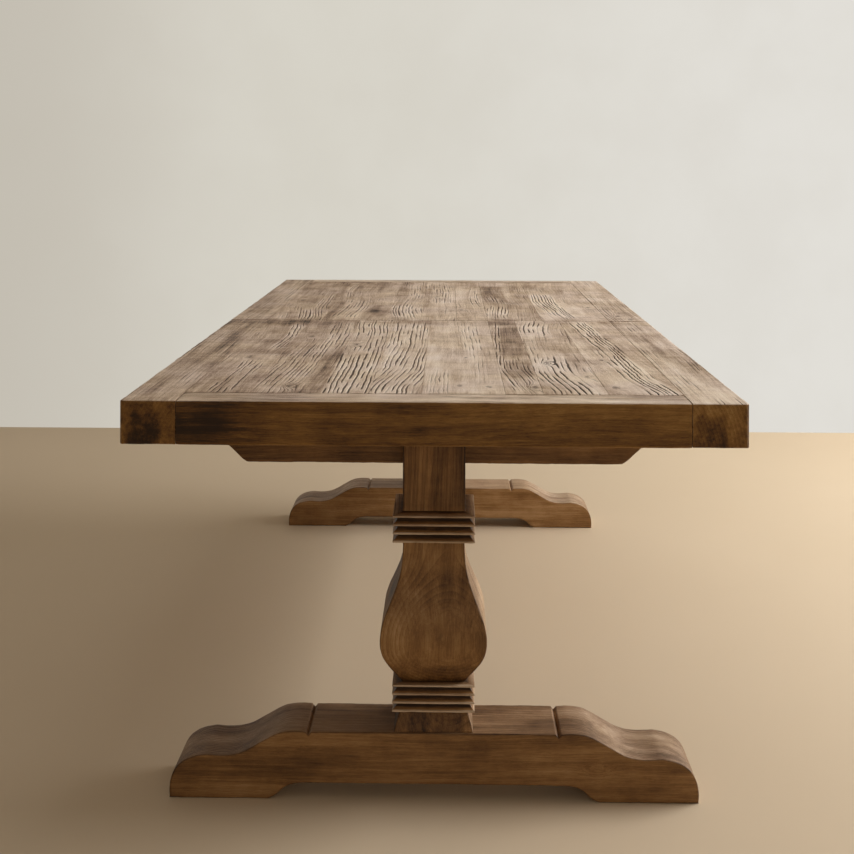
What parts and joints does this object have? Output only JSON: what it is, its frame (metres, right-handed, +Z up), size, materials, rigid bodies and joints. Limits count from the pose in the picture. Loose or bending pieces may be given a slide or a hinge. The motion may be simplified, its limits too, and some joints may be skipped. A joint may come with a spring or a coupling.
{
  "type": "dining table",
  "caption": "Rustic plank-topped trestle dining table with scrolled feet and square baluster posts; its half tops slide apart on wooden runners for leaves.",
  "frame": {"origin": "on the floor, at the middle of the table's length and width", "axes": "+X across the width to the right, +Y along the length from the near end to the far end, +Z up"},
  "size_m": [1.067, 2.134, 0.762],
  "materials": {
    "top_boards": "weathered, deep grain, dry matt",
    "frame_wood": "weathered top face, darker oiled edges",
    "base_wood": "oiled, matt, lightly worn edges",
    "inner_wood": "planed, unfinished",
    "fastener_steel": "zinc plated",
    "lock_steel": "dull grey steel",
    "pin_brass": "satin"
  },
  "bodies": {
    "base": {"near_foot": "base_wood", "near_foot_pads": "base_wood", "near_plinth": "base_wood", "near_post": "base_wood", "near_lower_collar": "base_wood", "near_upper_collar": "base_wood", "near_bearer": "base_wood", "far_foot": "base_wood", "far_foot_pads": "base_wood", "far_plinth": "base_wood", "far_post": "base_wood", "far_lower_collar": "base_wood", "far_upper_collar": "base_wood", "far_bearer": "base_wood", "stretcher": "base_wood", "stretcher_dowels": "inner_wood", "foot_bolts": "fastener_steel", "bearer_bolts": "fastener_steel", "left_slide_bar": "inner_wood", "right_slide_bar": "inner_wood", "slide_bar_screws": "fastener_steel"},
    "near_half": {"near_left_rail": "frame_wood", "near_right_rail": "frame_wood", "near_end_rail": "frame_wood", "near_board_1": "top_boards", "near_board_2": "top_boards", "near_board_3": "top_boards", "near_board_4": "top_boards", "near_board_5": "top_boards", "near_board_6": "top_boards", "near_board_7": "top_boards", "near_board_8": "top_boards", "near_seam_cleat": "inner_wood", "near_middle_cleat": "inner_wood", "near_end_cleat": "inner_wood", "near_left_runner": "inner_wood", "near_right_runner": "inner_wood", "near_screws": "fastener_steel", "seam_pins": "pin_brass", "lock_plates": "lock_steel"},
    "far_half": {"far_left_rail": "frame_wood", "far_right_rail": "frame_wood", "far_end_rail": "frame_wood", "far_board_1": "top_boards", "far_board_2": "top_boards", "far_board_3": "top_boards", "far_board_4": "top_boards", "far_board_5": "top_boards", "far_board_6": "top_boards", "far_board_7": "top_boards", "far_seam_cleat": "inner_wood", "far_middle_cleat": "inner_wood", "far_end_cleat": "inner_wood", "far_left_runner": "inner_wood", "far_right_runner": "inner_wood", "far_screws": "fastener_steel", "lock_keepers": "lock_steel"},
    "left_lock": {"left_lock_lever": "lock_steel"},
    "right_lock": {"right_lock_lever": "lock_steel"}
  },
  "joints": [
    {"name": "near_half_slide", "type": "slide", "parent": "base", "child": "near_half", "axis": [0, -1, 0], "range_m": [0, 0.457]},
    {"name": "far_half_slide", "type": "slide", "parent": "base", "child": "far_half", "axis": [0, 1, 0], "range_m": [0, 0.457]},
    {"name": "left_lock_swing", "type": "hinge", "parent": "near_half", "child": "left_lock", "pos_m": [-0.4855, -0.045, 0.6806], "axis": [0, 0, 1], "range_deg": [0, 90]},
    {"name": "right_lock_swing", "type": "hinge", "parent": "near_half", "child": "right_lock", "pos_m": [0.4855, -0.045, 0.6806], "axis": [0, 0, -1], "range_deg": [0, 90]}
  ]
}
